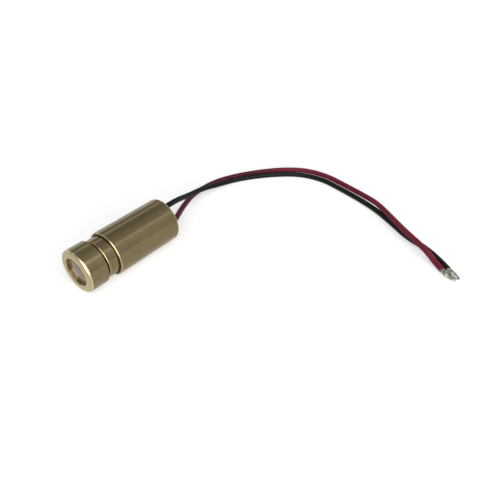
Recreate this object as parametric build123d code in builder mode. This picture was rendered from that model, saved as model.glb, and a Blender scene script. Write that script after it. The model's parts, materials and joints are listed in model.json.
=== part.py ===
"""Laser diode module: a turned brass barrel with a screw-in focusing lens cell and two supply wires.

The optical axis is +X and the beam leaves towards +X. The module lies on its side on a surface,
with +Z up. The origin is on the axis, halfway along the barrel. All sizes are in millimetres.
"""

import math
import os

from build123d import *

# Barrel
barrel_d = 9.0
barrel_length = 14.8
barrel_front_round = 0.27
barrel_rear_round = 0.4
mouth_chamfer = 0.15
thread_wall = 0.5
rear_wall = 0.8
rear_bore_depth = 7.3
web_thickness = 2.0

# Lens cell, which screws into the front of the barrel
thread_clearance = 0.05
focus_room = 2.5
neck_exposed = 2.6
head_step = 0.15
head_length = 4.05
head_front_round = 0.62
head_rear_chamfer = 0.15
relief_width = 0.45
relief_depth = 0.35
neck_round = 0.2
cell_wall = 0.75
aperture_step = 0.4
aperture_chamfer = 0.1
aperture_lip = 1.0

# Collimating lens and the ring behind it
lens_clearance = 0.03
lens_rim_thickness = 1.2
lens_dome_clearance = 0.2
lens_front_sag = 0.65
lens_rear_sag = 0.25
retainer_length = 1.2
retainer_wall = 0.77
retainer_slot_width = 0.7
retainer_slot_depth = 0.5

# Spring between the retainer and the web in the barrel
spring_wire_d = 0.4
spring_clearance = 0.15
spring_seat_gap = 0.02
spring_turns = 6

# Laser diode package
press_gap = 0.01
flange_d = 5.6
flange_thickness = 1.2
flange_notch_r = 0.2
lead_hole_d = 4.0
cap_d = 3.55
cap_wall = 0.15
cap_height = 2.3
cap_foot_d = 4.3
window_hole_d = 1.6
window_d = 2.6
window_thickness = 0.25
submount_width = 1.2
submount_depth = 1.0
submount_height = 1.4
chip_length = 0.3
chip_width = 0.25
chip_thickness = 0.1
photodiode_side = 0.5
photodiode_thickness = 0.12
photodiode_gap = 0.05
lead_d = 0.45
lead_pitch = 1.55
lead_stub = 0.5
seal_d = 0.95
lead_on_board = 2.0

# Driver board, held edgeways in the rear bore
board_roll = -40.0
board_thickness = 0.8
board_front_gap = 1.1
board_recess = 0.8
board_edge_gap = 0.08
board_corner_r = 0.4
solder_film = 0.03
solder_cover = 0.14
solder_end_share = 0.75
lead_joint_length = 1.4
wire_joint_length = 1.3

# Components on the driver board
resistor_size = (1.6, 0.85, 0.5)
resistor_gap = 0.5
capacitor_size = (1.6, 0.85, 0.8)
capacitor_margin = 0.9
transistor_size = (1.3, 2.9, 1.0)
transistor_margin = 0.75
transistor_standoff = 0.1
leg_width = 0.4
leg_thickness = 0.15
leg_reach = 0.5
leg_pitch = 0.95
chip_row_setback = 1.8

# Supply wires
wire_d = 1.15
core_d = 0.5
core_length = 1.4
wire_pad_offset = 1.8
wire_setback = 0.1
tip_root_d = 0.7
tip_waist_d = 0.92
tip_end_d = 0.3
tip_waist_share = 0.4
red_tip_length = 2.8
black_tip_length = 3.6
corner_run_share = 0.45

# Places along the axis
front_x = barrel_length / 2
rear_x = -barrel_length / 2
web_rear_x = rear_x + rear_bore_depth
web_front_x = web_rear_x + web_thickness
flange_rear_x = web_front_x - flange_thickness
shank_rear_x = web_front_x + focus_room
head_rear_x = front_x + neck_exposed
neck_front_x = head_rear_x - relief_width
head_front_x = head_rear_x + head_length
lens_front_x = head_front_x - aperture_lip
lens_rear_x = lens_front_x - lens_rim_thickness
retainer_rear_x = lens_rear_x - retainer_length
board_rear_x = rear_x + board_recess
board_front_x = web_rear_x - board_front_gap
lead_end_x = board_front_x - lead_on_board
wire_start_x = board_rear_x - wire_setback

# Radii
barrel_r = barrel_d / 2
thread_bore_r = barrel_r - thread_wall
rear_bore_r = barrel_r - rear_wall
head_r = barrel_r - head_step
shank_r = thread_bore_r - thread_clearance
relief_r = shank_r - relief_depth
cell_bore_r = shank_r - cell_wall
aperture_r = cell_bore_r - aperture_step
flange_seat_r = flange_d / 2 + press_gap
cap_inner_r = cap_d / 2 - cap_wall
lens_r = cell_bore_r - lens_clearance
retainer_bore_r = lens_r - retainer_wall
lens_front_dome_r = aperture_r - lens_dome_clearance
lens_rear_dome_r = retainer_bore_r - lens_dome_clearance
spring_mean_r = cell_bore_r - spring_clearance - spring_wire_d / 2

# The board's own plane: x along the axis, y across the board and z out of its upper face
board_plane = Plane.XY.rotated((board_roll, 0, 0))
board_half = board_thickness / 2
board_edge = math.sqrt((rear_bore_r - board_edge_gap) ** 2 - board_half**2)
lead_rise = board_half + solder_film + lead_d / 2
lead_spread = lead_pitch / 2
core_rise = board_half + solder_film + core_d / 2
chip_row_x = board_rear_x + chip_row_setback

# Where the three leads of the diode cross the board's plane: sideways place and height
lead_places = {
    "laser_lead": (-lead_spread, lead_rise),
    "monitor_lead": (lead_spread, lead_rise),
    "common_lead": (lead_spread, -lead_rise),
}
sealed_leads = ("laser_lead", "monitor_lead")

# Wire routes: x, y and the lift of the centre line above where it lies on the surface
lying_z = -barrel_r + wire_d / 2
black_route = [
    (-12.6, -2.2, 4.9),
    (-17.2, -3.2, 3.2),
    (-22.3, -4.8, 2.1),
    (-27.8, -4.0, 0.5),
    (-33.1, -2.8, 0.0),
    (-37.8, 0.1, 0.0),
    (-42.0, 3.8, 0.0),
    (-45.4, 8.1, 0.0),
    (-46.7, 13.6, 0.0),
    (-45.8, 19.0, 0.0),
    (-44.7, 24.5, 0.0),
    (-43.2, 29.8, 0.0),
    (-40.8, 34.9, 0.0),
    (-38.1, 39.9, 0.0),
    (-37.1, 45.3, 0.0),
    (-34.2, 50.1, 0.0),
]
black_lead_in = 2.7
red_route = [
    (-12.1, -0.2, 3.2),
    (-15.0, -2.4, 2.4),
    (-19.2, -4.6, 0.9),
    (-24.4, -6.5, 0.0),
    (-30.2, -5.9, 0.0),
    (-35.4, -3.6, 0.0),
    (-40.3, -0.4, 0.0),
    (-44.5, 3.2, 0.0),
    (-48.0, 7.7, 0.0),
    (-48.9, 13.5, 0.0),
    (-48.1, 19.1, 0.0),
    (-46.7, 24.9, 0.1),
    (-44.1, 29.6, 1.1),
    (-40.8, 34.5, 1.4),
    (-37.9, 39.3, 1.3),
    (-35.3, 44.4, 0.7),
    (-34.0, 47.8, 0.0),
    (-32.9, 49.5, 0.0),
]
red_lead_in = 2.3

os.makedirs("parts", exist_ok=True)


def save(builder, label):
    """Label a finished piece and write it to its own file."""
    builder.part.label = label
    export_step(builder.part, f"parts/{label}.step")


def rim(builder, x, r):
    """The circular edge of a turned piece at one place on the axis and of one radius."""
    circles = builder.edges().filter_by(GeomType.CIRCLE)
    return min(circles, key=lambda edge: abs(edge.center().X - x) + abs(edge.radius - r))


def across_axis(x, point):
    """A plane square to the axis at x, centred on a sideways place and height over the board."""
    return Plane(board_plane.from_local_coords((x, *point)), x_dir=(0, 1, 0), z_dir=(1, 0, 0))


def make_barrel():
    """Turned tube with a threaded front bore, a web that seats the diode and an open rear bore."""
    with BuildPart() as barrel:
        with BuildSketch(Plane.XZ):
            with BuildLine():
                Polyline(
                    (rear_x, rear_bore_r),
                    (rear_x, barrel_r),
                    (front_x, barrel_r),
                    (front_x, thread_bore_r),
                    (web_front_x, thread_bore_r),
                    (web_front_x, flange_seat_r),
                    (flange_rear_x, flange_seat_r),
                    (flange_rear_x, lead_hole_d / 2),
                    (web_rear_x, lead_hole_d / 2),
                    (web_rear_x, rear_bore_r),
                    close=True,
                )
            make_face()
        revolve(axis=Axis.X)
        fillet(rim(barrel, front_x, barrel_r), barrel_front_round)
        chamfer([rim(barrel, front_x, thread_bore_r), rim(barrel, rear_x, rear_bore_r)], mouth_chamfer)
        fillet(rim(barrel, rear_x, barrel_r), barrel_rear_round)
    save(barrel, "barrel")


def make_lens_cell():
    """Turned focusing head, a relief groove behind it and a shank that runs in the barrel's front bore."""
    with BuildPart() as cell:
        with BuildSketch(Plane.XZ):
            with BuildLine():
                Polyline(
                    (shank_rear_x, cell_bore_r),
                    (shank_rear_x, shank_r),
                    (neck_front_x, shank_r),
                    (neck_front_x, relief_r),
                    (head_rear_x, relief_r),
                    (head_rear_x, head_r),
                    (head_front_x, head_r),
                    (head_front_x, aperture_r),
                    (lens_front_x, aperture_r),
                    (lens_front_x, cell_bore_r),
                    close=True,
                )
            make_face()
        revolve(axis=Axis.X)
        fillet(rim(cell, head_front_x, head_r), head_front_round)
        chamfer(rim(cell, head_rear_x, head_r), head_rear_chamfer)
        fillet(rim(cell, neck_front_x, shank_r), neck_round)
        chamfer(rim(cell, head_front_x, aperture_r), aperture_chamfer)
        chamfer(rim(cell, shank_rear_x, shank_r), mouth_chamfer)
    save(cell, "lens_cell")


def dome_arc(edge_x, sag, dome_r):
    """Arc of one lens face, from its vertex on the axis to the edge of the dome."""
    curve_r = (dome_r**2 + sag**2) / (2 * sag)
    half_angle = math.asin(dome_r / curve_r) / 2
    middle = (edge_x + sag - curve_r * (1 - math.cos(half_angle)), curve_r * math.sin(half_angle))
    ThreePointArc((edge_x + sag, 0), middle, (edge_x, dome_r))


def make_lens():
    """Moulded collimating lens: a flat rim with a deep dome in front and a shallow one behind."""
    with BuildPart() as lens:
        with BuildSketch(Plane.XZ):
            with BuildLine():
                Polyline(
                    (lens_rear_x - lens_rear_sag, 0),
                    (lens_front_x + lens_front_sag, 0),
                )
                dome_arc(lens_front_x, lens_front_sag, lens_front_dome_r)
                Polyline(
                    (lens_front_x, lens_front_dome_r),
                    (lens_front_x, lens_r),
                    (lens_rear_x, lens_r),
                    (lens_rear_x, lens_rear_dome_r),
                )
                dome_arc(lens_rear_x, -lens_rear_sag, lens_rear_dome_r)
            make_face()
        revolve(axis=Axis.X)
    save(lens, "collimating_lens")


def make_retainer():
    """Slotted ring that holds the lens against the lip and gives the spring its seat."""
    with BuildPart() as retainer:
        with BuildSketch(Plane.YZ.offset(retainer_rear_x)):
            Circle(lens_r)
            Circle(retainer_bore_r, mode=Mode.SUBTRACT)
        extrude(amount=retainer_length)
        with BuildSketch(Plane.YZ.offset(retainer_rear_x)):
            Rectangle(2 * cell_bore_r, retainer_slot_width)
        extrude(amount=retainer_slot_depth, mode=Mode.SUBTRACT)
    save(retainer, "lens_retainer")


def make_spring():
    """Compression spring that takes up the play of the focusing thread."""
    first_x = web_front_x + spring_seat_gap + spring_wire_d / 2
    last_x = retainer_rear_x - spring_seat_gap - spring_wire_d / 2
    half_turns = 2 * spring_turns
    half_pitch = (last_x - first_x) / half_turns
    bow_r = math.hypot(spring_mean_r, half_pitch / 2)
    with BuildPart() as spring:
        with BuildLine() as coil:
            for turn in range(half_turns):
                side = 1 if turn % 2 == 0 else -1
                x = first_x + turn * half_pitch
                ThreePointArc(
                    (x, side * spring_mean_r, 0),
                    (x + half_pitch / 2, 0, side * bow_r),
                    (x + half_pitch, -side * spring_mean_r, 0),
                )
        with BuildSketch(Plane(coil.line @ 0, z_dir=coil.line % 0)):
            Circle(spring_wire_d / 2)
        sweep(path=coil.line)
    save(spring, "focus_spring")


def make_stem():
    """Flange of the diode package, pressed into the web, with three edge notches."""
    with BuildPart() as stem:
        with BuildSketch(Plane.YZ.offset(flange_rear_x)):
            Circle(flange_d / 2)
            with PolarLocations(flange_d / 2, 3, start_angle=board_roll, angular_range=180, endpoint=True):
                Circle(flange_notch_r, mode=Mode.SUBTRACT)
        extrude(amount=flange_thickness)
        for name in sealed_leads:
            with BuildSketch(across_axis(flange_rear_x, lead_places[name])):
                Circle(seal_d / 2)
            extrude(amount=flange_thickness, mode=Mode.SUBTRACT)
    save(stem, "diode_stem")


def make_cap():
    """Drawn can over the laser chip, with a welded foot and a window hole in front."""
    front = web_front_x + cap_height
    with BuildPart() as cap:
        with BuildSketch(Plane.XZ):
            with BuildLine():
                Polyline(
                    (web_front_x, cap_inner_r),
                    (web_front_x, cap_foot_d / 2),
                    (web_front_x + cap_wall, cap_foot_d / 2),
                    (web_front_x + cap_wall, cap_d / 2),
                    (front, cap_d / 2),
                    (front, window_hole_d / 2),
                    (front - cap_wall, window_hole_d / 2),
                    (front - cap_wall, cap_inner_r),
                    close=True,
                )
            make_face()
        revolve(axis=Axis.X)
        fillet(rim(cap, front, cap_d / 2), cap_wall)
    save(cap, "diode_cap")


def make_window():
    """Glass disc behind the cap's window hole."""
    with BuildPart() as window:
        with BuildSketch(Plane.YZ.offset(web_front_x + cap_height - cap_wall)):
            Circle(window_d / 2)
        extrude(amount=-window_thickness)
    save(window, "diode_window")


def make_block(label, corner, size):
    """A small block on the board's plane, from its low corner and its x, y and z sizes."""
    with BuildPart() as block:
        with BuildSketch(board_plane.offset(corner[2])):
            with Locations((corner[0] + size[0] / 2, corner[1] + size[1] / 2)):
                Rectangle(size[0], size[1])
        extrude(amount=size[2])
    save(block, label)


def make_diode_inside():
    """Copper submount, laser chip on the optical axis and monitor photodiode below it."""
    submount_top = -chip_thickness
    make_block(
        "diode_submount",
        (web_front_x, -submount_width / 2, submount_top - submount_depth),
        (submount_height, submount_width, submount_depth),
    )
    make_block(
        "laser_chip",
        (web_front_x + submount_height - chip_length, -chip_width / 2, submount_top),
        (chip_length, chip_width, chip_thickness),
    )
    make_block(
        "monitor_photodiode",
        (web_front_x, -photodiode_side / 2, submount_top + photodiode_gap),
        (photodiode_thickness, photodiode_side, photodiode_side),
    )


def make_leads():
    """Three diode leads: two pass through glass seals and the third is welded to the stem."""
    for name, place in lead_places.items():
        start_x = web_front_x + lead_stub if name in sealed_leads else flange_rear_x
        with BuildPart() as lead:
            with BuildSketch(across_axis(lead_end_x, place)):
                Circle(lead_d / 2)
            extrude(amount=start_x - lead_end_x)
        save(lead, name)
    for name in sealed_leads:
        with BuildPart() as seal:
            with BuildSketch(across_axis(flange_rear_x, lead_places[name])):
                Circle(seal_d / 2 - press_gap)
                Circle(lead_d / 2 + press_gap, mode=Mode.SUBTRACT)
            extrude(amount=flange_thickness)
        save(seal, name.replace("lead", "seal"))


def make_board():
    """Driver board, as wide as the rear bore allows, with rounded corners."""
    with BuildPart() as board:
        with BuildSketch(board_plane.offset(-board_half)):
            with Locations(((board_front_x + board_rear_x) / 2, 0)):
                RectangleRounded(board_front_x - board_rear_x, 2 * board_edge, board_corner_r)
        extrude(amount=board_thickness)
    save(board, "driver_board")


def make_solder_joint(label, x_range, across, face, conductor_d):
    """Solder mound on one face of the board that wraps a round conductor lying along the axis."""
    x_start, x_end = x_range
    height = solder_film + conductor_d + solder_cover
    end_height = height * solder_end_share
    foot = face * board_half
    seat = Plane(
        board_plane.from_local_coords((x_start, across, foot)),
        x_dir=(1, 0, 0),
        z_dir=board_plane.z_dir * face,
    )
    length = x_end - x_start
    with BuildPart() as joint:
        with BuildSketch(seat):
            with BuildLine():
                Line((0, 0), (length, 0))
                Line((length, 0), (length, end_height))
                ThreePointArc((length, end_height), (length / 2, height), (0, end_height))
                Line((0, end_height), (0, 0))
            make_face()
        revolve(axis=Axis(seat.origin, seat.x_dir))
        split(bisect_by=seat, keep=Keep.TOP)
        rise = face * (board_half + solder_film + conductor_d / 2)
        with BuildSketch(across_axis(x_start, (across, rise))):
            Circle(conductor_d / 2)
        extrude(amount=length, mode=Mode.SUBTRACT)
    save(joint, label)


def make_components():
    """Series resistor on the upper face, transistor and capacitor on the lower face."""
    length, width, height = resistor_size
    make_block(
        "series_resistor",
        (lead_end_x - resistor_gap - width, -length / 2, board_half),
        (width, length, height),
    )
    length, width, height = capacitor_size
    make_block(
        "filter_capacitor",
        (chip_row_x, board_edge - capacitor_margin - width, -board_half - height),
        (length, width, height),
    )
    length, width, height = transistor_size
    body_foot = -board_half - transistor_standoff
    make_block(
        "driver_transistor",
        (chip_row_x, transistor_margin - board_edge, body_foot - height),
        (length, width, height),
    )
    leg_places = (
        ("transistor_leg_1", chip_row_x - leg_reach, -leg_pitch),
        ("transistor_leg_2", chip_row_x - leg_reach, leg_pitch),
        ("transistor_leg_3", chip_row_x + length, 0),
    )
    for name, x, shift in leg_places:
        middle = transistor_margin - board_edge + width / 2 + shift
        make_leg(name, x, middle, x > chip_row_x, body_foot - height / 2)


def make_leg(label, x, middle, forward, knee_z):
    """Bent transistor leg: out of the body at half its height and down to the board."""
    foot_z = -board_half
    upright = leg_reach - leg_thickness if forward else 0
    middle_point = board_plane.from_local_coords((x, middle, 0))
    with BuildPart() as leg:
        with BuildSketch(Plane(middle_point, x_dir=(1, 0, 0), z_dir=-board_plane.y_dir)):
            with Locations((upright, knee_z)):
                Rectangle(leg_thickness, foot_z - knee_z, align=(Align.MIN, Align.MIN))
            with Locations((0, knee_z)):
                Rectangle(leg_reach, leg_thickness, align=(Align.MIN, Align.MIN))
        extrude(amount=leg_width / 2, both=True)
    save(leg, label)


def corner_radii(points):
    """Largest even arc at each corner of a route, from the runs beside it and its turn."""
    radii = []
    for before, corner, after in zip(points, points[1:], points[2:]):
        arriving = Vector(*corner) - Vector(*before)
        leaving = Vector(*after) - Vector(*corner)
        half_turn = math.radians(arriving.get_angle(leaving) / 2)
        run = corner_run_share * min(arriving.length, leaving.length)
        radii.append(run / math.tan(half_turn))
    return radii


def make_wire(colour, across, lead_in, route, tip_length):
    """One supply wire: bared core on the board, insulated length and tinned tip."""
    with BuildPart() as core:
        with BuildSketch(across_axis(wire_start_x, (across, core_rise))):
            Circle(core_d / 2)
        extrude(amount=core_length)
    save(core, f"{colour}_core")

    start = board_plane.from_local_coords((wire_start_x, across, core_rise))
    points = [tuple(start), (start.X - lead_in, start.Y, start.Z)]
    points += [(x, y, lying_z + lift) for x, y, lift in route]
    radii = corner_radii(points)
    with BuildPart() as wire:
        with BuildLine() as path:
            FilletPolyline(*points, radius=radii)
        with BuildSketch(Plane(path.line @ 0, z_dir=path.line % 0)):
            Circle(wire_d / 2)
        sweep(path=path.line)
    save(wire, f"{colour}_wire")
    length = path.wire().length
    section = math.pi * wire_d**2 / 4
    print(colour, "wire length", round(length, 2), "radii", [round(r, 1) for r in radii])
    print(colour, "volume over section times length", round(wire.part.volume / (section * length), 4))

    heading = Vector(*points[-1]) - Vector(*points[-2])
    with BuildPart() as tip:
        with BuildSketch(Plane(points[-1], x_dir=heading, z_dir=heading.cross(Vector(0, 0, 1)))):
            with BuildLine():
                Line((0, 0), (0, tip_root_d / 2))
                Spline(
                    (0, tip_root_d / 2),
                    (tip_length * tip_waist_share, tip_waist_d / 2),
                    (tip_length, tip_end_d / 2),
                )
                Line((tip_length, tip_end_d / 2), (tip_length, 0))
                Line((tip_length, 0), (0, 0))
            make_face()
        revolve(axis=Axis(points[-1], heading))
    save(tip, f"{colour}_tinned_tip")


make_barrel()
make_lens_cell()
make_lens()
make_retainer()
make_spring()
make_stem()
make_cap()
make_window()
make_diode_inside()
make_leads()
make_board()
for lead_name, (lead_across, lead_height) in lead_places.items():
    joint_end_x = lead_end_x + lead_joint_length
    lead_face = math.copysign(1, lead_height)
    make_solder_joint(f"{lead_name}_solder", (lead_end_x, joint_end_x), lead_across, lead_face, lead_d)
for wire_colour, pad_across in (("red", wire_pad_offset), ("black", -wire_pad_offset)):
    make_solder_joint(
        f"{wire_colour}_solder",
        (board_rear_x, board_rear_x + wire_joint_length),
        pad_across,
        1,
        core_d,
    )
make_components()
make_wire("red", wire_pad_offset, red_lead_in, red_route, red_tip_length)
make_wire("black", -wire_pad_offset, black_lead_in, black_route, black_tip_length)
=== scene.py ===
"""Looks of the laser diode module: turned brass, moulded lens, driver board and supply wires."""

import json
import math

import bpy
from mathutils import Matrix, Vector


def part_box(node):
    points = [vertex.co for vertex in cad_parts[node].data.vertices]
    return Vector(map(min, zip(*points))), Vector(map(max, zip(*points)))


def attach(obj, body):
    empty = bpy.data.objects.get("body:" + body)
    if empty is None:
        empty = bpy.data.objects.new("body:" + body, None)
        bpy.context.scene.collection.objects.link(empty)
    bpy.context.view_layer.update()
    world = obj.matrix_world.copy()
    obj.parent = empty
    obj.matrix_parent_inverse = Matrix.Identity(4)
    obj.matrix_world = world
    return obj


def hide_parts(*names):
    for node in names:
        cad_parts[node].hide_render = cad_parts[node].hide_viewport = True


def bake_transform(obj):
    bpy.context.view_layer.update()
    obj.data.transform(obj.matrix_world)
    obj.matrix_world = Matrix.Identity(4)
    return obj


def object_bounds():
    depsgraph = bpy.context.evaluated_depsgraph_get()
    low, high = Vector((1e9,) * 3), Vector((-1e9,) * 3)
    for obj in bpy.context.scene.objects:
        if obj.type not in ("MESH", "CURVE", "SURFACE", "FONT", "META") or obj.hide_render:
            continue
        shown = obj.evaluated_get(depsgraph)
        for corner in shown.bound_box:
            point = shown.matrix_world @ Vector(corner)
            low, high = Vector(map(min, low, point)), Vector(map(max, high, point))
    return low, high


bl_info = {
    "name": "Laser diode module",
    "version": (1, 0, 0),
    "blender": (4, 5, 0),
    "location": "View3D > Sidebar > Laser module",
    "description": "Finishes, supply wires and studio stage of a brass laser diode module",
    "category": "Object",
}

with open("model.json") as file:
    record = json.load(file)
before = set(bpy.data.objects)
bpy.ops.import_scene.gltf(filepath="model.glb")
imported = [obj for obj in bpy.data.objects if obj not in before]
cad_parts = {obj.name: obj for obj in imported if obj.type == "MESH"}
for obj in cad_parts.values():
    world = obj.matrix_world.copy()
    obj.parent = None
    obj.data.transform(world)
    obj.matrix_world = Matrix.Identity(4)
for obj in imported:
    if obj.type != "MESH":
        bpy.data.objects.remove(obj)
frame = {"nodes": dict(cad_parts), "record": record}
CAD_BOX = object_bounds()
NODES = frame["nodes"]
SLOT_COLOURS = {
    entry["slot"]: tuple(entry["base_color"][:3]) for entry in frame["record"]["materials"]
}

ROOT_BODY = "module"
CELL_BODY = "focusing_cell"
STRAIGHT_PLACE = "straight_place"
PER_METRE = 1000.0
BOARD_ROLL = math.radians(-40.0)

# Where a finish of the brass or the painted groove shade begins, in millimetres along or from the
# axis
HEAD_REAR = (9.6, 9.9)
GROOVE_HALF_WIDTH = (0.3, 0.22)
GROOVE_RADIUS = (3.93, 3.83)
# Height over the axis across which the painted groove shade grows lighter towards the top
GROOVE_TOP = (1.5, 3.4)
SEAT_OUTER_RADIUS = (3.0, 2.9)
SEAT_INNER_RADIUS = (2.75, 2.79)

# How far a surface leans along the axis where a cut face starts, and where the painted highlight on
# a rounded edge starts and ends
CUT_LEAN = (0.12, 0.4)
GLINT_LEAN_START = (0.2, 0.4)
GLINT_LEAN_END = (0.75, 0.55)

# Fixed colours, as one tone or as a dark and a pale one
GLUE_TONES = ((0.4, 0.32, 0.18, 1.0), (0.66, 0.55, 0.32, 1.0))
DUST_TONE = (0.85, 0.83, 0.8, 1.0)
TIN_TONES = ((0.24, 0.24, 0.19, 1.0), (0.74, 0.74, 0.66, 1.0))
FLUX_TONE = (0.62, 0.52, 0.33, 1.0)
TERMINAL_TONES = ((0.55, 0.54, 0.51, 1.0), (0.8, 0.79, 0.76, 1.0))
BOARD_EDGE_TONES = ((0.42, 0.38, 0.2, 1.0), (0.62, 0.58, 0.36, 1.0))
WHITE = (1.0, 1.0, 1.0, 1.0)

# Marks on each metre of insulation, along the wire and across it, and how softly the painted shade
# at its start ends
DRAW_LINES = (250.0, 9000.0, 9000.0)
RUB_PATCHES = (300.0, 900.0, 900.0)
START_SHADE_FADE = 0.15

# Fineness of the meshes
COIL_STEPS = 48
COIL_SIDES = 16
STRAND_STEPS = 48
STRAND_SIDES = 12
SOLDER_SIDES = 24
ROUTE_STEPS = 16
DOME_STEPS = 16
TURNED_SIDES = 96
SHARP_ANGLE = math.radians(35.0)

# Rim and faces of the lens, in metres
LENS_RIM_REAR = 0.01185
LENS_RIM_FRONT = 0.01305
LENS_REAR_RADIUS = 0.0022
LENS_EDGE_FLAT = 0.00012

# Shares of a bared end's widest diameter, and the share of a tip's length where it is widest
STRAND_SHARE = 0.36
SOLDER_SHARE = 0.86
TIP_ROOT_SHARE = 0.88
TIP_END_SHARE = 0.48
TIP_WAIST = 0.4

# Camera: sensor in millimetres, clipping in metres
SENSOR_WIDTH = 36.0
CLIP_START = 0.001
CLIP_END = 20.0

# Floor: half its side and the gap above it in metres, its glow near the module, what it gains over
# a reach in millimetres, and its glow in mirrors
FLOOR_HALF = 3.0
FLOOR_GAP = 0.00002
FLOOR_GLOW = 0.48
FLOOR_GLOW_GAIN = 0.37
FLOOR_GLOW_REACH = (40.0, 300.0)
FLOOR_GLOW_MIRRORED = 0.18

# Grey levels of the ceiling's strips, from the +Y horizon at 0 over the top to the -Y one at 1, and
# the rise from the white horizon to that ceiling
CEILING_STRIPS = [
    (0.0, 0.56),
    (0.1, 0.62),
    (0.2, 0.66),
    (0.265, 0.7),
    (0.29, 0.95),
    (0.32, 0.95),
    (0.345, 0.58),
    (0.5, 0.44),
    (0.62, 0.34),
    (0.68, 0.36),
    (0.73, 0.78),
    (0.76, 0.78),
    (0.8, 0.36),
    (0.86, 0.3),
    (0.93, 0.88),
    (1.0, 1.0),
]
CEILING_RISE = (0.0, 0.05)

# Control points of each wire's centre line, in metres, from the board to the tinned end
BLACK_ROUTE = [
    (-0.0067, -0.0009418, 0.0016779),
    (-0.0094, -0.0009418, 0.0016779),
    (-0.0131, -0.0019, 0.0009),
    (-0.0178, -0.0031, -0.00075),
    (-0.0226, -0.00395, -0.00185),
    (-0.0279, -0.00405, -0.0033),
    (-0.0332, -0.0029, -0.003925),
    (-0.0378, 0.0001, -0.003925),
    (-0.042, 0.0038, -0.003925),
    (-0.0454, 0.0081, -0.003925),
    (-0.0467, 0.0136, -0.003925),
    (-0.0458, 0.019, -0.003925),
    (-0.0447, 0.0245, -0.003925),
    (-0.0432, 0.0298, -0.003925),
    (-0.0408, 0.0349, -0.003925),
    (-0.0381, 0.0399, -0.003925),
    (-0.0371, 0.0453, -0.003925),
    (-0.03375, 0.05035, -0.003925),
]
RED_ROUTE = [
    (-0.0067, 0.001816, -0.0006361),
    (-0.009, 0.0015, -0.0006361),
    (-0.0121, -0.0005, -0.0013),
    (-0.015, -0.0021, -0.0017),
    (-0.0199, -0.0049, -0.003025),
    (-0.0244, -0.0065, -0.003925),
    (-0.0302, -0.0059, -0.003925),
    (-0.0354, -0.0036, -0.003925),
    (-0.0403, -0.0004, -0.003925),
    (-0.0445, 0.0032, -0.003925),
    (-0.0478, 0.0077, -0.003925),
    (-0.04885, 0.01335, -0.003925),
    (-0.04785, 0.0191, -0.003925),
    (-0.0466, 0.0249, -0.003825),
    (-0.0441, 0.0296, -0.002825),
    (-0.0408, 0.0345, -0.002525),
    (-0.0379, 0.0393, -0.00255),
    (-0.0351, 0.0448, -0.0026),
    (-0.0339, 0.0479, -0.003925),
    (-0.0329, 0.0495, -0.003925),
]

# Control points of each tinned end, from the insulation to its tip
BLACK_TIP = [
    (-0.03375, 0.05035, -0.003925),
    (-0.033, 0.0515, -0.003925),
    (-0.0324, 0.053, -0.003925),
]
RED_TIP = [
    (-0.0329, 0.0495, -0.003925),
    (-0.0318, 0.0511, -0.003925),
    (-0.0316, 0.0527, -0.003925),
]


class Signal:
    """One output socket of a node; arithmetic on it adds Math nodes to the same tree."""

    def __init__(self, sheet, socket):
        self.sheet = sheet
        self.socket = socket

    def out(self, name):
        """Another output of the same node."""
        return Signal(self.sheet, self.socket.node.outputs[name])

    def math(self, operation, first, second=0.0):
        """A Math node of the given operation."""
        return self.sheet.node("ShaderNodeMath", {"operation": operation}, {0: first, 1: second})

    def __add__(self, other):
        return self.math("ADD", self, other)

    def __radd__(self, other):
        return self.math("ADD", other, self)

    def __sub__(self, other):
        return self.math("SUBTRACT", self, other)

    def __rsub__(self, other):
        return self.math("SUBTRACT", other, self)

    def __mul__(self, other):
        return self.math("MULTIPLY", self, other)

    def __rmul__(self, other):
        return self.math("MULTIPLY", other, self)

    def __truediv__(self, other):
        return self.math("DIVIDE", self, other)

    def __rtruediv__(self, other):
        return self.math("DIVIDE", other, self)

    def __abs__(self):
        return self.math("ABSOLUTE", self)


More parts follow.
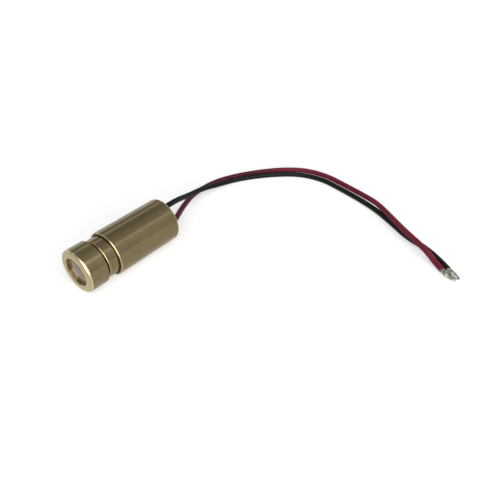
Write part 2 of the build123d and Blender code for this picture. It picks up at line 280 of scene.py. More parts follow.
class NodeSheet:
    """A node tree under construction: a material's, the world's or a geometry modifier's."""

    def __init__(self, tree):
        self.tree = tree
        tree.nodes.clear()

    def node(self, kind, settings=None, inputs=None, output=0):
        """Add a node, set it up, feed its sockets and return one of its outputs."""
        made = self.tree.nodes.new(kind)
        for name, value in (settings or {}).items():
            if name == "stops":
                self.set_stops(made.color_ramp, value)
            elif name == "captures":
                for socket_type, label in value:
                    made.capture_items.new(socket_type, label)
            else:
                setattr(made, name, value)
        for key, value in (inputs or {}).items():
            for each in value if isinstance(value, list) else [value]:
                if isinstance(each, Signal):
                    self.tree.links.new(each.socket, made.inputs[key])
                else:
                    made.inputs[key].default_value = each
        return Signal(self, made.outputs[output]) if len(made.outputs) else None

    @staticmethod
    def set_stops(ramp, stops):
        """Give a colour ramp its stops, as pairs of place and grey level."""
        while len(ramp.elements) < len(stops):
            ramp.elements.new(1.0)
        for element, (place, grey) in zip(ramp.elements, stops):
            element.position = place
            element.color = (grey, grey, grey, 1.0)

    def mix(self, factor, low, high):
        """A colour between two colours."""
        inputs = {0: factor, 6: low, 7: high}
        return self.node("ShaderNodeMix", {"data_type": "RGBA"}, inputs, output=2)

    def vary(self, factor, colour, share):
        """A colour that runs from a share darker to a share lighter."""
        return self.mix(factor, opaque(colour, 1.0 - share), opaque(colour, 1.0 + share))

    def step(self, value, start, end, low=0.0, high=1.0):
        """A smooth step from low at start to high at end."""
        inputs = {0: value, 1: start, 2: end, 3: low, 4: high}
        return self.node("ShaderNodeMapRange", {"interpolation_type": "SMOOTHSTEP"}, inputs)

    def noise(self, place, scale, detail=3.0, roughness=0.55):
        """Cloudy variation between 0 and 1."""
        return self.node(
            "ShaderNodeTexNoise",
            None,
            {"Vector": place, "Scale": scale, "Detail": detail, "Roughness": roughness},
        )

    def place(self, turn=0.0, stretch=(1.0, 1.0, 1.0)):
        """Object coordinates in millimetres, turned about the optical axis and stretched."""
        return self.node(
            "ShaderNodeMapping",
            None,
            {
                "Vector": self.node("ShaderNodeTexCoord", output="Object"),
                "Rotation": (turn, 0.0, 0.0),
                "Scale": tuple(PER_METRE * share for share in stretch),
            },
        )

    def split(self, vector):
        """The three parts of a vector."""
        parts = self.node("ShaderNodeSeparateXYZ", None, {0: vector})
        return parts, parts.out("Y"), parts.out("Z")

    def relief(self, height, depth):
        """A normal from a height field of the given depth in metres."""
        return self.node("ShaderNodeBump", None, {"Distance": depth, "Height": height})


def new_finish(name):
    """An empty material and the sheet for its nodes."""
    material = bpy.data.materials.new(name)
    material.use_nodes = True
    return material, NodeSheet(material.node_tree)


def close_finish(sheet, **sockets):
    """End a material in a Principled shader fed by the named sockets."""
    inputs = {
        name.replace("_", " ").title().replace("Ior", "IOR"): value
        for name, value in sockets.items()
    }
    shader = sheet.node("ShaderNodeBsdfPrincipled", None, inputs)
    sheet.node("ShaderNodeOutputMaterial", None, {"Surface": shader})


def opaque(colour, share=1.0):
    """A colour with full alpha, made darker or lighter by a share."""
    return (*(min(1.0, part * share) for part in colour), 1.0)


def dress(material, *names):
    """Put a material on the named nodes of the frame."""
    for name in names:
        slots = NODES[name].data.materials
        slots.clear()
        slots.append(material)


def turned_brass(settings):
    """Lathe-turned brass: dulled skin with fine rings, bright faces, glue, painted rim highlights
    and painted groove shade.
    """
    material, sheet = new_finish("turned_brass")
    place = sheet.place()
    along, side, up = sheet.split(place)
    away = sheet.node("ShaderNodeMath", {"operation": "SQRT"}, {0: side * side + up * up})
    rings = sheet.node("ShaderNodeCombineXYZ", None, {"X": along, "Y": away})
    tool_marks = sheet.noise(rings, settings.marks_per_mm, detail=4.0, roughness=0.6)
    dulling = sheet.noise(place, 0.32, detail=4.0)
    rubs = sheet.step(sheet.noise(sheet.place(stretch=(0.5, 3.0, 3.0)), 1.1), 0.62, 0.78)
    lean = abs(sheet.split(sheet.node("ShaderNodeTexCoord", output="Normal"))[0])
    cut = sheet.step(lean, *CUT_LEAN)
    # Painted highlight: the rounded rims of the brass get a paler colour than the cut faces
    edge_glint = sheet.step(lean, *GLINT_LEAN_START) * sheet.step(lean, *GLINT_LEAN_END)
    skin = sheet.vary(dulling, settings.skin_colour, 0.14)
    rubbed = sheet.mix(rubs * 0.35, skin, opaque(settings.cut_colour))
    bright = sheet.vary(tool_marks, settings.cut_colour, 0.08)
    # Painted highlight colours on the rounded rims: one for the head, one for the barrel and neck
    head = sheet.mix(edge_glint * 0.7, bright, opaque(settings.head_glint_colour))
    rims = sheet.mix(edge_glint, opaque(settings.cut_colour, 0.5), opaque(settings.rim_glint_colour))
    faces = sheet.mix(sheet.step(along, *HEAD_REAR), rims, head)
    glue = sheet.mix(sheet.step(sheet.noise(place, 1.3, detail=4.0), 0.4, 0.6), *GLUE_TONES)
    seat = sheet.step(away, *SEAT_OUTER_RADIUS) * sheet.step(away, *SEAT_INNER_RADIUS)
    metal = sheet.mix(seat, sheet.mix(cut, rubbed, faces), glue)
    # Painted shade: the groove behind the head is darkened towards near black, less towards the top
    groove = sheet.step(abs(along - settings.groove_place), *GROOVE_HALF_WIDTH)
    groove_shade = groove * sheet.step(away, *GROOVE_RADIUS) * (0.9 - 0.5 * sheet.step(up, *GROOVE_TOP))
    shine = settings.roughness + 0.06 * dulling - 0.04 * rubs + 0.04 * tool_marks + 0.08 * cut
    close_finish(
        sheet,
        base_color=sheet.mix(groove_shade, metal, opaque(settings.skin_colour, 0.1)),
        metallic=1.0,
        roughness=shine,
        normal=sheet.relief(tool_marks, settings.mark_depth),
    )
    return material


def moulded_lens(settings):
    """Moulded optical plastic with a faint coating tint, flow haze and a little dust."""
    material, sheet = new_finish("moulded_lens")
    place = sheet.place()
    haze = sheet.noise(place, 0.9)
    dust = sheet.step(sheet.noise(place, 9.0, detail=2.0), 0.66, 0.74)
    close_finish(
        sheet,
        base_color=sheet.mix(dust * 0.5, sheet.vary(haze, settings.lens_colour, 0.1), DUST_TONE),
        roughness=0.06 + 0.1 * haze + 0.25 * dust,
        ior=1.49,
        transmission_weight=settings.lens_clearness,
        coat_weight=0.4,
        coat_roughness=0.04,
    )
    return material


def plated(name, colour, roughness, grain):
    """Plated or drawn metal with fine grain, cloudy tone and worn patches."""
    material, sheet = new_finish(name)
    place = sheet.place()
    cloud = sheet.noise(place, 1.4)
    fine = sheet.noise(place, grain, roughness=0.65)
    wear = sheet.step(sheet.noise(place, 2.6, detail=4.0), 0.6, 0.72)
    tone = sheet.mix(cloud, opaque(colour, 0.84), opaque(colour, 1.12))
    close_finish(
        sheet,
        base_color=sheet.mix(wear * 0.5, tone, opaque(colour, 0.75)),
        metallic=1.0,
        roughness=roughness + 0.12 * cloud + 0.1 * wear,
        normal=sheet.relief(fine, depth=0.000002),
    )
    return material


def solder_tin():
    """Tinned copper and solder: bright, lumpy and flecked with dull flux marks."""
    material, sheet = new_finish("solder_tin")
    place = sheet.place()
    lumps = sheet.step(sheet.noise(place, 1.1, detail=2.0), 0.34, 0.68)
    flecks = sheet.step(sheet.noise(place, 6.0), 0.58, 0.7)
    close_finish(
        sheet,
        base_color=sheet.mix(flecks * 0.45, sheet.mix(lumps, *TIN_TONES), FLUX_TONE),
        metallic=1.0 - 0.3 * flecks,
        roughness=0.22 + 0.22 * lumps + 0.15 * flecks,
        normal=sheet.relief(lumps, depth=0.00002),
    )
    return material


def glass(name, colour, roughness):
    """Clear or dark glass with faint streaks."""
    material, sheet = new_finish(name)
    streaks = sheet.noise(sheet.place(stretch=(1.0, 4.0, 1.0)), 1.2)
    close_finish(
        sheet,
        base_color=sheet.vary(streaks, colour, 0.08),
        roughness=roughness + 0.05 * streaks,
        ior=1.52,
        transmission_weight=0.85,
    )
    return material


def moulded_epoxy(name, colour, speckle):
    """Filled moulding compound or sintered body with fine speckle and a dull surface."""
    material, sheet = new_finish(name)
    place = sheet.place()
    grain = sheet.noise(place, 14.0, roughness=0.7)
    sheen = sheet.noise(place, 2.2, detail=2.0)
    close_finish(
        sheet,
        base_color=sheet.vary(grain, colour, speckle),
        roughness=0.42 + 0.2 * sheen,
        normal=sheet.relief(grain, depth=0.000006),
    )
    return material


def chip_body(name, colour, axis, centre, half_body):
    """Surface-mount body between two tinned ends, along the board (0) or across it (1)."""
    material, sheet = new_finish(name)
    place = sheet.place(turn=-BOARD_ROLL)
    grain = sheet.noise(place, 11.0, roughness=0.7)
    reach = abs(sheet.split(place)[axis] - centre)
    ends = sheet.step(reach + 0.04 * grain, half_body, half_body + 0.03)
    tin = sheet.mix(grain, *TERMINAL_TONES)
    close_finish(
        sheet,
        base_color=sheet.mix(ends, sheet.vary(grain, colour, 0.2), tin),
        metallic=ends,
        roughness=0.5 - 0.2 * ends + 0.1 * grain,
        normal=sheet.relief(grain, depth=0.000008),
    )
    return material


def solder_mask(settings):
    """Green board with raised tracks under the mask and a woven glass edge."""
    material, sheet = new_finish("solder_mask")
    place = sheet.place(turn=-BOARD_ROLL)
    threads = sheet.place(turn=-BOARD_ROLL, stretch=(6.0, 6.0, 1.0))
    weave = sheet.noise(threads, 1.0, detail=2.0)
    tracks = 1.0 - sheet.node(
        "ShaderNodeTexBrick",
        {"offset": 0.4, "squash": 1.0},
        {
            "Vector": place,
            "Scale": 1.0,
            "Mortar Size": 0.09,
            "Mortar Smooth": 0.1,
            "Brick Width": 1.5,
            "Row Height": 0.62,
        },
        output="Fac",
    )
    normal = sheet.node(
        "ShaderNodeMapping",
        {"vector_type": "NORMAL"},
        {
            "Vector": sheet.node("ShaderNodeTexCoord", output="Normal"),
            "Rotation": (-BOARD_ROLL, 0.0, 0.0),
        },
    )
    face = sheet.step(abs(sheet.split(normal)[2]), 0.4, 0.6)
    green = settings.board_colour
    mask = sheet.mix(tracks, opaque(green, 1.5), opaque(green, 0.8))
    close_finish(
        sheet,
        base_color=sheet.mix(face, sheet.mix(weave, *BOARD_EDGE_TONES), mask),
        roughness=0.62 - 0.34 * face + 0.1 * weave,
        normal=sheet.relief(weave * 0.25 - tracks, depth=0.000012),
    )
    return material


def wire_insulation(name, colour, shaded_length):
    """Extruded insulation: draw lines along the wire, rubbed patches and painted shade, darker near
    the board.
    """
    material, sheet = new_finish(name)
    straight = sheet.node(
        "ShaderNodeAttribute", {"attribute_name": STRAIGHT_PLACE}, output="Vector"
    )
    drawn, spread = (
        sheet.node("ShaderNodeMapping", None, {"Vector": straight, "Scale": marks})
        for marks in (DRAW_LINES, RUB_PATCHES)
    )
    lines, patches = sheet.noise(drawn, 1.0), sheet.noise(spread, 1.0)
    rubs = sheet.step(patches, 0.55, 0.75)
    # Painted shade: the insulation is darker, at half its colour, over its first stretch from the
    # board
    start_shade_ends = (shaded_length * (1.0 + START_SHADE_FADE), shaded_length * (1.0 - START_SHADE_FADE))
    start_shade = sheet.step(sheet.split(straight)[0], *start_shade_ends)
    tone = sheet.mix(start_shade, sheet.vary(lines, colour, 0.14), opaque(colour, 0.5))
    rubbed = opaque([part * 0.8 + 0.03 for part in colour])
    close_finish(
        sheet,
        base_color=sheet.mix(rubs * 0.3, tone, rubbed),
        roughness=0.4 + 0.12 * patches + 0.1 * rubs,
        specular_ior_level=0.2,
        normal=sheet.relief(lines, depth=0.000008),
    )
    return material


def new_geometry_tree(name, inputs):
    """A geometry node tree with the named inputs, and the line it is given, as a curve."""
    tree = bpy.data.node_groups.new(name, "GeometryNodeTree")
    tree.interface.new_socket("Geometry", in_out="INPUT", socket_type="NodeSocketGeometry")
    for label, kind in inputs.items():
        tree.interface.new_socket(label, in_out="INPUT", socket_type=f"NodeSocket{kind}")
    tree.interface.new_socket("Geometry", in_out="OUTPUT", socket_type="NodeSocketGeometry")
    sheet = NodeSheet(tree)
    given = sheet.node("NodeGroupInput")
    line = sheet.node("GeometryNodeMeshToCurve", None, {"Mesh": given.out("Geometry")})
    return tree, sheet, given, line


def circle(sheet, sides, diameter):
    """A round section of the given diameter."""
    inputs = {"Resolution": sides, "Radius": diameter * 0.5}
    return sheet.node("GeometryNodeCurvePrimitiveCircle", {"mode": "RADIUS"}, inputs)


def sweep(sheet, path, section, scale=1.0):
    """A closed mesh that carries a section along a path."""
    inputs = {"Curve": path, "Profile Curve": section, "Scale": scale, "Fill Caps": True}
    return sheet.node("GeometryNodeCurveToMesh", None, inputs)


def end_geometry(sheet, geometry, material):
    """Close a geometry tree with smooth, realised and dressed geometry."""
    smooth = sheet.node("GeometryNodeSetShadeSmooth", None, {"Geometry": geometry})
    real = sheet.node("GeometryNodeRealizeInstances", None, {"Geometry": smooth})
    inputs = {"Geometry": real, "Material": material}
    dressed = sheet.node("GeometryNodeSetMaterial", None, inputs)
    sheet.node("NodeGroupOutput", None, {"Geometry": dressed})


def tube_tree():
    """Geometry nodes that sweep a round wire along a line and keep its straightened place."""
    tree, sheet, given, line = new_geometry_tree(
        "wire_tube", {"Diameter": "Float", "Sides": "Int", "Insulation": "Material"}
    )
    path = sheet.node(
        "GeometryNodeCaptureAttribute",
        {"captures": [("FLOAT", "Along")]},
        {"Geometry": line, "Along": sheet.node("GeometryNodeSplineParameter", output="Length")},
    )
    section = sheet.node(
        "GeometryNodeCaptureAttribute",
        {"captures": [("VECTOR", "Round")]},
        {
            "Geometry": circle(sheet, given.out("Sides"), given.out("Diameter")),
            "Round": sheet.node("GeometryNodeInputPosition"),
        },
    )
    across, over, _ = sheet.split(section.out("Round"))
    straight = {"X": path.out("Along"), "Y": across, "Z": over}
    marked = sheet.node(
        "GeometryNodeStoreNamedAttribute",
        {"data_type": "FLOAT_VECTOR", "domain": "POINT"},
        {
            "Geometry": sweep(sheet, path, section),
            "Name": STRAIGHT_PLACE,
            "Value": sheet.node("ShaderNodeCombineXYZ", None, straight),
        },
    )
    end_geometry(sheet, marked, given.out("Insulation"))
    return tree


def strand_tree():
    """Geometry nodes that twist tinned strands round a solder core, leaf-shaped along a line."""
    tree, sheet, given, line = new_geometry_tree(
        "tinned_strands",
        {
            "Strands": "Int",
            "Strand Diameter": "Float",
            "Ring Diameter": "Float",
            "Solder Diameter": "Float",
            "Lay Length": "Float",
            "Root Share": "Float",
            "End Share": "Float",
            "Waist Place": "Float",
            "Tin": "Material",
        },
    )
    path = sheet.node("GeometryNodeResampleCurve", None, {"Curve": line, "Count": STRAND_STEPS})
    ride = sheet.node("GeometryNodeSplineParameter", output="Factor")
    twist = ride.out("Length") * math.tau / given.out("Lay Length")
    twisted = sheet.node("GeometryNodeSetCurveTilt", None, {"Curve": path, "Tilt": twist})
    waist = given.out("Waist Place")
    swell = sheet.step(ride, 0.0, waist, low=given.out("Root Share"))
    narrow = sheet.step(ride, waist, 1.0, low=1.0, high=given.out("End Share"))
    leaf = swell * narrow
    ring = circle(sheet, given.out("Strands"), given.out("Ring Diameter"))
    strand = circle(sheet, STRAND_SIDES, given.out("Strand Diameter"))
    placed = sheet.node("GeometryNodeInstanceOnPoints", None, {"Points": ring, "Instance": strand})
    bundle = sheet.node("GeometryNodeRealizeInstances", None, {"Geometry": placed})
    core = circle(sheet, SOLDER_SIDES, given.out("Solder Diameter"))
    swept = [sweep(sheet, twisted, bundle, leaf), sweep(sheet, path, core, leaf)]
    joined = sheet.node("GeometryNodeJoinGeometry", None, {"Geometry": swept})
    end_geometry(sheet, joined, given.out("Tin"))
    return tree


def coil_tree():
    """Geometry nodes that wind a round wire into a right-handed spring along a line."""
    tree, sheet, given, line = new_geometry_tree(
        "spring_coil",
        {
            "Turns": "Float",
            "Coil Diameter": "Float",
            "Wire Diameter": "Float",
            "Steps": "Int",
            "Steel": "Material",
        },
    )
    inputs = {"Curve": line, "Count": given.out("Steps")}
    path = sheet.node("GeometryNodeResampleCurve", None, inputs)
    ride = sheet.node("GeometryNodeSplineParameter", output="Factor")
    turn = ride * math.tau * given.out("Turns")
    radius = given.out("Coil Diameter") * 0.5
    round_axis = {"Y": radius * turn.math("COSINE", turn), "Z": radius * turn.math("SINE", turn)}
    outwards = sheet.node("ShaderNodeCombineXYZ", None, round_axis)
    wound = sheet.node("GeometryNodeSetPosition", None, {"Geometry": path, "Offset": outwards})
    section = circle(sheet, COIL_SIDES, given.out("Wire Diameter"))
    end_geometry(sheet, sweep(sheet, wound, section), given.out("Steel"))
    return tree


def grow(name, line, tree, values):
    """Run a geometry tree on a line and keep the result as a plain mesh object."""
    piece = bpy.data.objects.new(name, line)
    bpy.context.scene.collection.objects.link(piece)
    modifier = piece.modifiers.new(tree.name, "NODES")
    modifier.node_group = tree
    sockets = [item for item in tree.interface.items_tree if item.in_out == "INPUT"]
    identifiers = {socket.name: socket.identifier for socket in sockets}
    for label, value in values.items():
        modifier[identifiers[label]] = value
    evaluated = piece.evaluated_get(bpy.context.evaluated_depsgraph_get())
    grown = bpy.data.meshes.new_from_object(evaluated)
    piece.modifiers.clear()
    piece.data = grown
    grown.name = name
    return piece


def smooth_line(name, route):
    """A wire's or a tip's centre line as a mesh of points, from a NURBS spline on its route."""
    curve = bpy.data.curves.new(name, "CURVE")
    curve.dimensions = "3D"
    spline = curve.splines.new("NURBS")
    spline.points.add(len(route) - 1)
    for point, place in zip(spline.points, route):
        point.co = (*place, 1.0)
    spline.order_u = 3
    spline.use_endpoint_u = True
    spline.resolution_u = ROUTE_STEPS
    return bpy.data.meshes.new_from_object(bpy.data.objects.new(name, curve))


def straight_line(name, start, end):
    """A mesh of one edge from start to end."""
    mesh = bpy.data.meshes.new(name)
    mesh.from_pydata([start, end], [(0, 1)], [])
    return mesh


def dome(edge, sag, radius):
    """Profile of one lens face, as pairs of place and radius from its edge to near its vertex."""
    shares = [1.0 - step / DOME_STEPS for step in range(DOME_STEPS)]
    return [(edge + sag * (1.0 - share * share), radius * share) for share in shares]


def turned(name, profile, ends, material):
    """A closed solid turned about the optical axis, from a profile between two points on it."""
    vertices = [(ends[0], 0.0, 0.0), (ends[1], 0.0, 0.0)]
    angles = [math.tau * side / TURNED_SIDES for side in range(TURNED_SIDES)]
    for place, radius in profile:
        vertices += [
            (place, radius * math.cos(angle), radius * math.sin(angle)) for angle in angles
        ]
    faces = []
    last_ring = 2 + (len(profile) - 1) * TURNED_SIDES
    for side in range(TURNED_SIDES):
        after = (side + 1) % TURNED_SIDES
        faces.append((0, 2 + after, 2 + side))
        faces.append((1, last_ring + side, last_ring + after))
        for ring in range(2, last_ring, TURNED_SIDES):
            above = ring + TURNED_SIDES
            faces.append((ring + side, ring + after, above + after, above + side))
    mesh = bpy.data.meshes.new(name)
    mesh.from_pydata(vertices, [], faces)
    mesh.shade_smooth()
    mesh.set_sharp_from_angle(angle=SHARP_ANGLE)
    mesh.materials.append(material)
    piece = bpy.data.objects.new(name, mesh)
    bpy.context.scene.collection.objects.link(piece)
    return piece


def colour_property(name, description, default):
    """A linear colour that a user can change."""
    return bpy.props.FloatVectorProperty(
        name=name,
        description=description,
        default=default,
        size=3,
        min=0.0,
        max=1.0,
        subtype="COLOR",
    )


def length_property(name, description, default):
    """A length in metres that a user can change."""
    return bpy.props.FloatProperty(
        name=name,
        description=description,
        default=default,
        min=0.0,
        precision=6,
        unit="LENGTH",
        subtype="DISTANCE",
    )


def place_property(name, description, default):
    """A place in metres that a user can change."""
    return bpy.props.FloatVectorProperty(
        name=name,
        description=description,
        default=default,
        size=3,
        unit="LENGTH",
        subtype="TRANSLATION",
    )


def angle_property(name, description, degrees):
    """An angle that a user can change."""
    return bpy.props.FloatProperty(
        name=name, description=description, default=math.radians(degrees), subtype="ANGLE"
    )


def factor_property(name, description, default):
    """A share between 0 and 1 that a user can change."""
    return bpy.props.FloatProperty(
        name=name, description=description, default=default, min=0.0, max=1.0, subtype="FACTOR"
    )


class BrassSettings(bpy.types.PropertyGroup):
    """Finish of the turned brass pieces."""

    skin_colour: colour_property("Skin", "Dulled brass on the turned sides", (0.27, 0.213, 0.112))
    cut_colour: colour_property("Cut faces", "Bright brass on cut faces", (0.59, 0.487, 0.265))
    # Painted highlight colours for the rounded rims of the head, and of the barrel and neck
    head_glint_colour: colour_property("Head glint", "Painted highlight on the head's rounded rim", (0.84, 0.74, 0.45))
    rim_glint_colour: colour_property("Rim glint", "Painted highlight on the rounded rims of barrel and neck", (0.82, 0.67, 0.38))
    roughness: factor_property("Roughness", "Roughness of the brightest brass", 0.12)
    marks_per_mm: bpy.props.FloatProperty(
        name="Tool marks", description="Turning marks on each millimetre", default=7.0, min=0.0
    )
    mark_depth: length_property("Mark depth", "Depth of the turning marks", 0.000003)
    # Place of the groove behind the head that carries painted shade
    groove_place: bpy.props.FloatProperty(
        name="Shaded groove",
        description="Millimetres from the origin to the groove with painted shade",
        default=9.775,
    )


class InsideSettings(bpy.types.PropertyGroup):
    """Sizes and finish of the lens, the spring, the diode package and the driver board."""

    lens_colour: colour_property("Lens", "Tint of the moulded lens", (0.53, 0.39, 0.22))
    lens_boss_diameter: length_property("Lens boss", "Diameter of the lens's front boss", 0.00544)
    lens_boss_height: length_property("Boss height", "Height of the boss over the rim", 0.00035)
    lens_clearness: factor_property("Lens clearness", "Share of light that passes", 0.7)
    board_colour: colour_property("Solder mask", "Green of the driver board", (0.016, 0.11, 0.045))
    gilt_colour: colour_property(
        "Gilt", "Plating of the stem and leads", SLOT_COLOURS["gilt_steel"]
    )
    spring_wire: length_property("Spring wire", "Diameter of the spring's wire", 0.0004)
    spring_turns: bpy.props.FloatProperty(
        name="Turns", description="Turns of the focusing spring", default=6.0, min=1.0
    )


class WireSettings(bpy.types.PropertyGroup):
    """Sizes and colours of the two supply wires."""

    wire_diameter: length_property("Wire", "Diameter over the insulation", 0.00115)
    core_diameter: length_property("Core", "Diameter of the bared strands at the board", 0.0005)
    core_length: length_property("Core length", "Bared length at the board", 0.0014)
    tip_diameter: length_property("Tip", "Widest diameter of a tinned end", 0.00112)
    lay_length: length_property("Lay", "Length of one turn of the strands", 0.004)
    # Stretch from the board on over which the insulation carries painted shade
    shaded_length: length_property("Shaded length", "Darkened insulation from the board on", 0.04)
    strands: bpy.props.IntProperty(
        name="Strands", description="Strands on the outside of a core", default=7, min=3
    )
    sides: bpy.props.IntProperty(
        name="Sides", description="Flats round the insulation", default=24, min=8
    )
    red_colour: colour_property("Red", "Insulation of the positive wire", (0.195, 0.017, 0.036))
    black_colour: colour_property("Black", "Insulation of the negative wire", (0.005, 0.006, 0.006))


class StageSettings(bpy.types.PropertyGroup):
    """Camera, floor, lamp and surroundings."""

    camera_place: place_property("Camera", "Camera place", (0.046447, 0.066384, 0.059413))
    camera_azimuth: angle_property("Azimuth", "Camera azimuth", 129.056)
    camera_elevation: angle_property("Elevation", "Camera elevation", 38.978)
    camera_lens: bpy.props.FloatProperty(
        name="Focal length", description="Millimetres", default=36.012, unit="CAMERA"
    )
    floor_colour: colour_property("Floor", "Plain pale floor", (0.85, 0.85, 0.85))
    ambient: bpy.props.FloatProperty(
        name="Ambient", description="Even light from all sides", default=0.25, min=0.0
    )
    softbox_place: place_property("Softbox", "Place of the large lamp", (0.22, 0.36, 0.27))
    softbox_side: length_property("Softbox side", "Side of the large lamp", 0.8)
    softbox_power: bpy.props.FloatProperty(
        name="Softbox power", description="Power of the large lamp", default=4.0, unit="POWER"
    )


class LASERMODULE_OT_brass(bpy.types.Operator):
    """Dress the barrel, the focusing cell and the lens retainer in turned brass"""

    bl_idname = "lasermodule.brass"
    bl_label = "Brass pieces"

    def execute(self, context):
        dress(turned_brass(context.scene.lasermodule_brass), "barrel", "lens_cell", "lens_retainer")
        return {"FINISHED"}


class LASERMODULE_OT_optics(bpy.types.Operator):
    """Turn the collimating lens and dress it and the diode's window"""

    bl_idname = "lasermodule.optics"
    bl_label = "Lens and window"

    def execute(self, context):
        settings = context.scene.lasermodule_inside
        low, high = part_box("collimating_lens")
        boss_front = LENS_RIM_FRONT + settings.lens_boss_height
        boss_radius = settings.lens_boss_diameter * 0.5
        rear_face = dome(LENS_RIM_REAR, low.x - LENS_RIM_REAR, LENS_REAR_RADIUS)
        rim = [
            (LENS_RIM_REAR, high.z),
            (LENS_RIM_FRONT, high.z),
            (LENS_RIM_FRONT, boss_radius),
            (boss_front, boss_radius),
        ]
        front_face = dome(boss_front, high.x - boss_front, boss_radius - LENS_EDGE_FLAT)
        profile = rear_face[::-1] + rim + front_face
        lens = turned("moulded_lens", profile, (low.x, high.x), moulded_lens(settings))
        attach(lens, CELL_BODY)
        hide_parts("collimating_lens")
        window = glass("window_glass", SLOT_COLOURS["window_glass"], roughness=0.02)
        dress(window, "diode_window")
        return {"FINISHED"}


class LASERMODULE_OT_spring(bpy.types.Operator):
    """Wind the focusing spring between the diode and the lens retainer"""

    bl_idname = "lasermodule.spring"
    bl_label = "Focusing spring"

    def execute(self, context):
        settings = context.scene.lasermodule_inside
        low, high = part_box("focus_spring")
        rear, front = Vector((low.x, 0.0, 0.0)), Vector((high.x, 0.0, 0.0))
        inset = Vector((settings.spring_wire * 0.5, 0.0, 0.0))
        steel = plated("spring_steel", SLOT_COLOURS["spring_steel"], roughness=0.24, grain=24.0)
        coil = grow(
            "focusing_coil",
            straight_line("coil_axis", rear + inset, front - inset),
            coil_tree(),
            {
                "Turns": settings.spring_turns,
                "Coil Diameter": high.y - low.y - settings.spring_wire,
                "Wire Diameter": settings.spring_wire,
                "Steps": int(settings.spring_turns * COIL_STEPS) + 1,
                "Steel": steel,
            },
        )
        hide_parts("focus_spring")
        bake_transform(coil)
        return {"FINISHED"}


class LASERMODULE_OT_diode(bpy.types.Operator):
    """Dress the diode package and its leads"""

    bl_idname = "lasermodule.diode"
    bl_label = "Diode package"

    def execute(self, context):
        settings = context.scene.lasermodule_inside
        gilt = plated("gilt_steel", settings.gilt_colour, roughness=0.2, grain=16.0)
        nickel = plated("nickel_can", SLOT_COLOURS["nickel_plate"], roughness=0.16, grain=20.0)
        copper = plated("copper_block", SLOT_COLOURS["copper"], roughness=0.26, grain=12.0)
        die = moulded_epoxy("chip_die", SLOT_COLOURS["chip"], speckle=0.3)
        seal = glass("seal_glass", SLOT_COLOURS["seal_glass"], roughness=0.1)
        dress(gilt, "diode_stem", "laser_lead", "monitor_lead", "common_lead")
        dress(nickel, "diode_cap")
        dress(copper, "diode_submount")
        dress(die, "laser_chip", "monitor_photodiode")
        dress(seal, "laser_seal", "monitor_seal")
        return {"FINISHED"}


class LASERMODULE_OT_board(bpy.types.Operator):
    """Dress the driver board, its components and its solder joints"""

    bl_idname = "lasermodule.board"
    bl_label = "Driver board"

    def execute(self, context):
        film, ceramic = SLOT_COLOURS["resistor"], SLOT_COLOURS["capacitor"]
        resistor = chip_body("thick_film", film, axis=1, centre=0.0, half_body=0.5)
        capacitor = chip_body("ceramic", ceramic, axis=0, centre=-4.0, half_body=0.5)
        case = moulded_epoxy("transistor_case", SLOT_COLOURS["transistor"], speckle=0.25)
        dress(solder_mask(context.scene.lasermodule_inside), "driver_board")
        dress(resistor, "series_resistor")
        dress(capacitor, "filter_capacitor")
        dress(case, "driver_transistor")
        dress(
            solder_tin(),
            "laser_lead_solder",
            "monitor_lead_solder",
            "common_lead_solder",
            "red_solder",
            "black_solder",
            "transistor_leg_1",
            "transistor_leg_2",
            "transistor_leg_3",
        )
        return {"FINISHED"}


class LASERMODULE_OT_wires(bpy.types.Operator):
    """Lay the red and the black supply wire with twisted tinned strands at both ends"""

    bl_idname = "lasermodule.wires"
    bl_label = "Supply wires"

    def execute(self, context):
        settings = context.scene.lasermodule_wires
        tube = tube_tree()
        strands = strand_tree()
        tin = bpy.data.materials["solder_tin"]
        for colour, route, tip_route, hue in (
            ("red", RED_ROUTE, RED_TIP, settings.red_colour),
            ("black", BLACK_ROUTE, BLACK_TIP, settings.black_colour),
        ):
            slot = f"{colour}_insulation"
            line = smooth_line(f"{colour}_route", route)
            cover = grow(
                f"{colour}_supply_wire",
                line,
                tube,
                {
                    "Diameter": settings.wire_diameter,
                    "Sides": settings.sides,
                    "Insulation": wire_insulation(slot, hue, settings.shaded_length),
                },
            )
            tip_line = smooth_line(f"{colour}_tip_route", tip_route)
            tip = self.twist(settings, strands, tin, f"{colour}_tip_strands", tip_line, True)
            core_end = Vector(route[0]) + Vector((settings.core_length, 0.0, 0.0))
            core_line = straight_line(f"{colour}_core_route", route[0], core_end)
            core = self.twist(settings, strands, tin, f"{colour}_core_strands", core_line, False)
            for piece, node in ((cover, "wire"), (tip, "tinned_tip"), (core, "core")):
                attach(piece, ROOT_BODY)
                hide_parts(f"{colour}_{node}")
        return {"FINISHED"}

    @staticmethod
    def twist(settings, tree, tin, name, line, is_tip):
        """Twisted strands along a line: leaf-shaped at a tip, even in a core."""
        width = settings.tip_diameter if is_tip else settings.core_diameter
        strand = width * STRAND_SHARE
        return grow(
            name,
            line,
            tree,
            {
                "Strands": settings.strands,
                "Strand Diameter": strand,
                "Ring Diameter": width - strand,
                "Solder Diameter": width * SOLDER_SHARE,
                "Lay Length": settings.lay_length,
                "Root Share": TIP_ROOT_SHARE if is_tip else 1.0,
                "End Share": TIP_END_SHARE if is_tip else 1.0,
                "Waist Place": TIP_WAIST,
                "Tin": tin,
            },
        )


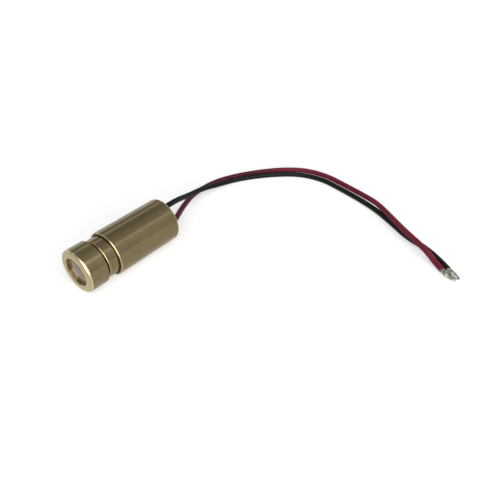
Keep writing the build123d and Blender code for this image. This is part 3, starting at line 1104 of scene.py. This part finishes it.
class LASERMODULE_OT_stage(bpy.types.Operator):
    """Set the camera, the floor, the lamp and the surroundings"""

    bl_idname = "lasermodule.stage"
    bl_label = "Stage"

    def execute(self, context):
        settings = context.scene.lasermodule_stage
        context.scene.view_settings.view_transform = "Standard"
        self.place_camera(context.scene, settings)
        self.lay_floor(context.scene, settings)
        self.hang_lamp(context.scene, settings)
        self.paint_surroundings(context.scene, settings)
        return {"FINISHED"}

    @staticmethod
    def place_camera(scene, settings):
        """A camera at the viewing angle, with the frame square."""
        data = bpy.data.cameras.new("camera")
        data.lens = settings.camera_lens
        data.sensor_width = SENSOR_WIDTH
        data.clip_start = CLIP_START
        data.clip_end = CLIP_END
        camera = bpy.data.objects.new("camera", data)
        camera.location = settings.camera_place
        tilt = math.pi / 2 - settings.camera_elevation
        camera.rotation_euler = (tilt, 0.0, settings.camera_azimuth)
        scene.collection.objects.link(camera)
        scene.camera = camera

    @staticmethod
    def hang_lamp(scene, settings):
        """A square soft lamp that faces the module."""
        data = bpy.data.lights.new("softbox", "AREA")
        data.size = settings.softbox_side
        data.energy = settings.softbox_power
        lamp = bpy.data.objects.new("softbox", data)
        lamp.location = settings.softbox_place
        aim = -Vector(settings.softbox_place)
        lamp.rotation_euler = aim.to_track_quat("-Z", "Y").to_euler()
        scene.collection.objects.link(lamp)

    @staticmethod
    def ray_kinds(sheet):
        """Whether a ray comes from the camera, and whether from a mirror or through glass."""
        rays = sheet.node("ShaderNodeLightPath")
        glossy, clear = rays.out("Is Glossy Ray"), rays.out("Is Transmission Ray")
        return rays, rays.math("MAXIMUM", glossy, clear)

    @classmethod
    def lay_floor(cls, scene, settings):
        """A pale floor under the module that shows white and keeps the shadow."""
        low, high, level = -FLOOR_HALF, FLOOR_HALF, CAD_BOX[0].z - FLOOR_GAP
        corners = [(low, low, level), (high, low, level), (high, high, level), (low, high, level)]
        mesh = bpy.data.meshes.new("floor")
        mesh.from_pydata(corners, [], [(0, 1, 2, 3)])
        material, sheet = new_finish("pale_floor")
        seen, mirrored = cls.ray_kinds(sheet)
        reach = sheet.node(
            "ShaderNodeVectorMath", {"operation": "LENGTH"}, {0: sheet.place()}, output="Value"
        )
        shown = FLOOR_GLOW + FLOOR_GLOW_GAIN * sheet.step(reach, *FLOOR_GLOW_REACH)
        lift = shown * seen + FLOOR_GLOW_MIRRORED * mirrored
        matte = sheet.node("ShaderNodeBsdfDiffuse", None, {"Color": opaque(settings.floor_colour)})
        glow = sheet.node("ShaderNodeEmission", None, {"Strength": lift})
        both = sheet.node("ShaderNodeAddShader", None, {0: matte, 1: glow})
        sheet.node("ShaderNodeOutputMaterial", None, {"Surface": both})
        mesh.materials.append(material)
        floor = bpy.data.objects.new("floor", mesh)
        scene.collection.objects.link(floor)

    @classmethod
    def paint_surroundings(cls, scene, settings):
        """A white room whose ceiling is grey, with brighter strips along the module."""
        world = bpy.data.worlds.new("studio")
        world.use_nodes = True
        scene.world = world
        sheet = NodeSheet(world.node_tree)
        seen, mirrored = cls.ray_kinds(sheet)
        shown_rays = seen.math("MAXIMUM", seen, mirrored)
        _, side, up = sheet.split(sheet.node("ShaderNodeTexCoord"))
        around = up.math("ARCTAN2", up, side) / math.pi
        ceiling = sheet.node("ShaderNodeValToRGB", {"stops": CEILING_STRIPS}, {"Fac": around})
        backdrop = sheet.mix(sheet.step(up, *CEILING_RISE), WHITE, ceiling)
        room = {"Color": sheet.mix(seen, backdrop, WHITE)}
        shown = sheet.node("ShaderNodeBackground", None, room)
        light = sheet.node("ShaderNodeBackground", None, {"Strength": settings.ambient})
        both = sheet.node("ShaderNodeMixShader", None, {0: shown_rays, 1: light, 2: shown})
        sheet.node("ShaderNodeOutputWorld", None, {"Surface": both})


class LASERMODULE_PT_steps(bpy.types.Panel):
    """Lists the steps that dress the laser module."""

    bl_idname = "LASERMODULE_PT_steps"
    bl_label = "Laser module"
    bl_space_type = "VIEW_3D"
    bl_region_type = "UI"
    bl_category = "Laser module"

    def draw(self, context):
        for operator in OPERATORS:
            self.layout.operator(operator.bl_idname)


SETTINGS = {
    "lasermodule_brass": BrassSettings,
    "lasermodule_inside": InsideSettings,
    "lasermodule_wires": WireSettings,
    "lasermodule_stage": StageSettings,
}
OPERATORS = (
    LASERMODULE_OT_brass,
    LASERMODULE_OT_optics,
    LASERMODULE_OT_spring,
    LASERMODULE_OT_diode,
    LASERMODULE_OT_board,
    LASERMODULE_OT_wires,
    LASERMODULE_OT_stage,
)


def register():
    """Make the settings, the operators and the panel known."""
    for name, group in SETTINGS.items():
        bpy.utils.register_class(group)
        setattr(bpy.types.Scene, name, bpy.props.PointerProperty(type=group))
    for operator in OPERATORS:
        bpy.utils.register_class(operator)
    bpy.utils.register_class(LASERMODULE_PT_steps)


def unregister():
    """Remove the panel, the operators and the settings."""
    bpy.utils.unregister_class(LASERMODULE_PT_steps)
    for operator in reversed(OPERATORS):
        bpy.utils.unregister_class(operator)
    for name, group in SETTINGS.items():
        delattr(bpy.types.Scene, name)
        bpy.utils.unregister_class(group)


def main():
    """Run every step."""
    register()
    bpy.ops.lasermodule.brass()
    bpy.ops.lasermodule.optics()
    bpy.ops.lasermodule.spring()
    bpy.ops.lasermodule.diode()
    bpy.ops.lasermodule.board()
    bpy.ops.lasermodule.wires()
    bpy.ops.lasermodule.stage()


if __name__ == "__main__":
    main()
